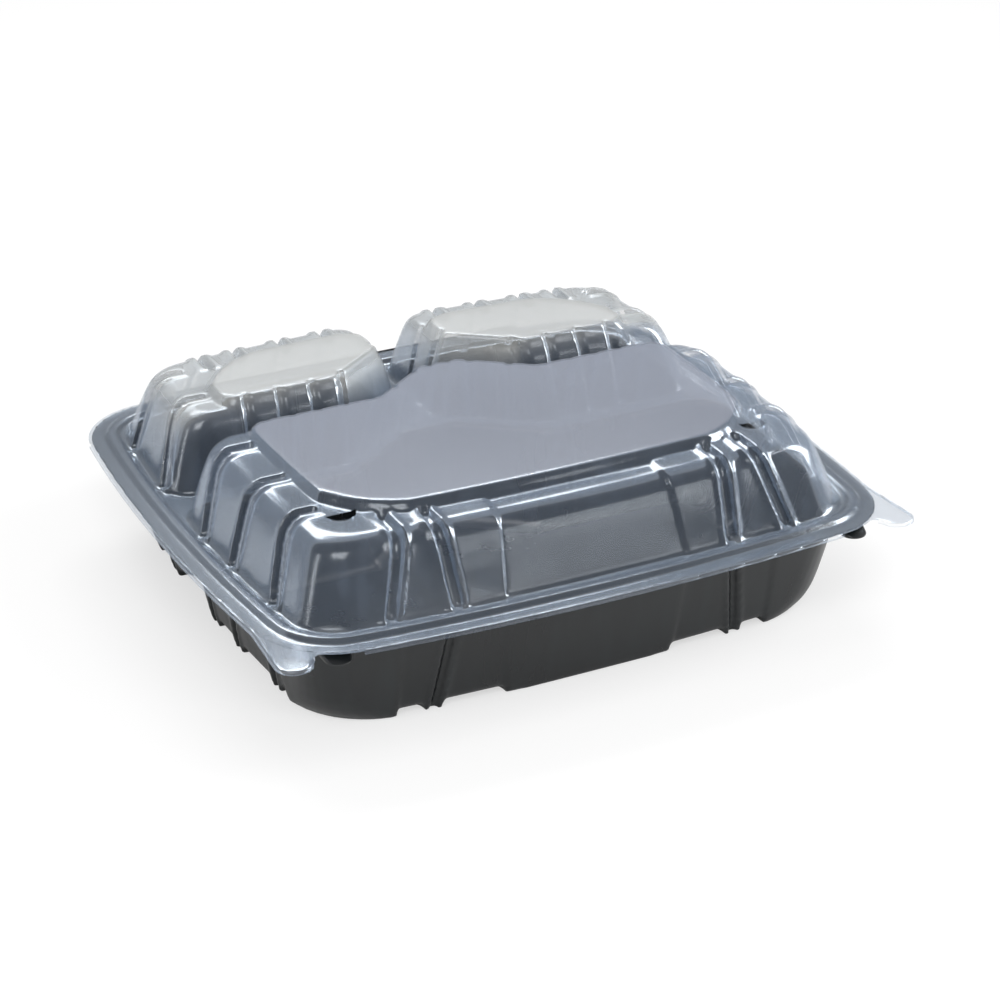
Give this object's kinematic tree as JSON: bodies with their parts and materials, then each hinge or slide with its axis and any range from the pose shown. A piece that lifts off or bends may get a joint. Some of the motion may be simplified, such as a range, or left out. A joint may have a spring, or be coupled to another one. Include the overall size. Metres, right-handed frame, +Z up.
{
  "type": "food container",
  "caption": "Hinged-lid takeaway food container with divided compartments: black formed base, see-through domed lid with vents and corner tabs.",
  "frame": {"origin": "middle of the container on the table, under the closed container", "axes": "+Z up, +X to the right seen from the front, +Y towards the hinge at the rear"},
  "size_m": [0.2666, 0.2414, 0.0762],
  "materials": {
    "base_plastic": "black formed sheet, satin with soft highlights",
    "lid_plastic": "see-through bluish formed sheet, glossy walls and frosted tops"
  },
  "bodies": {
    "base": {"base": "base_plastic"},
    "lid": {"lid": "lid_plastic"}
  },
  "joints": [
    {"name": "lid_hinge", "type": "hinge", "parent": "base", "child": "lid", "pos_m": [0, 0.12005, 0.0432], "axis": [-1, 0, 0], "range_deg": [0, 180]}
  ]
}
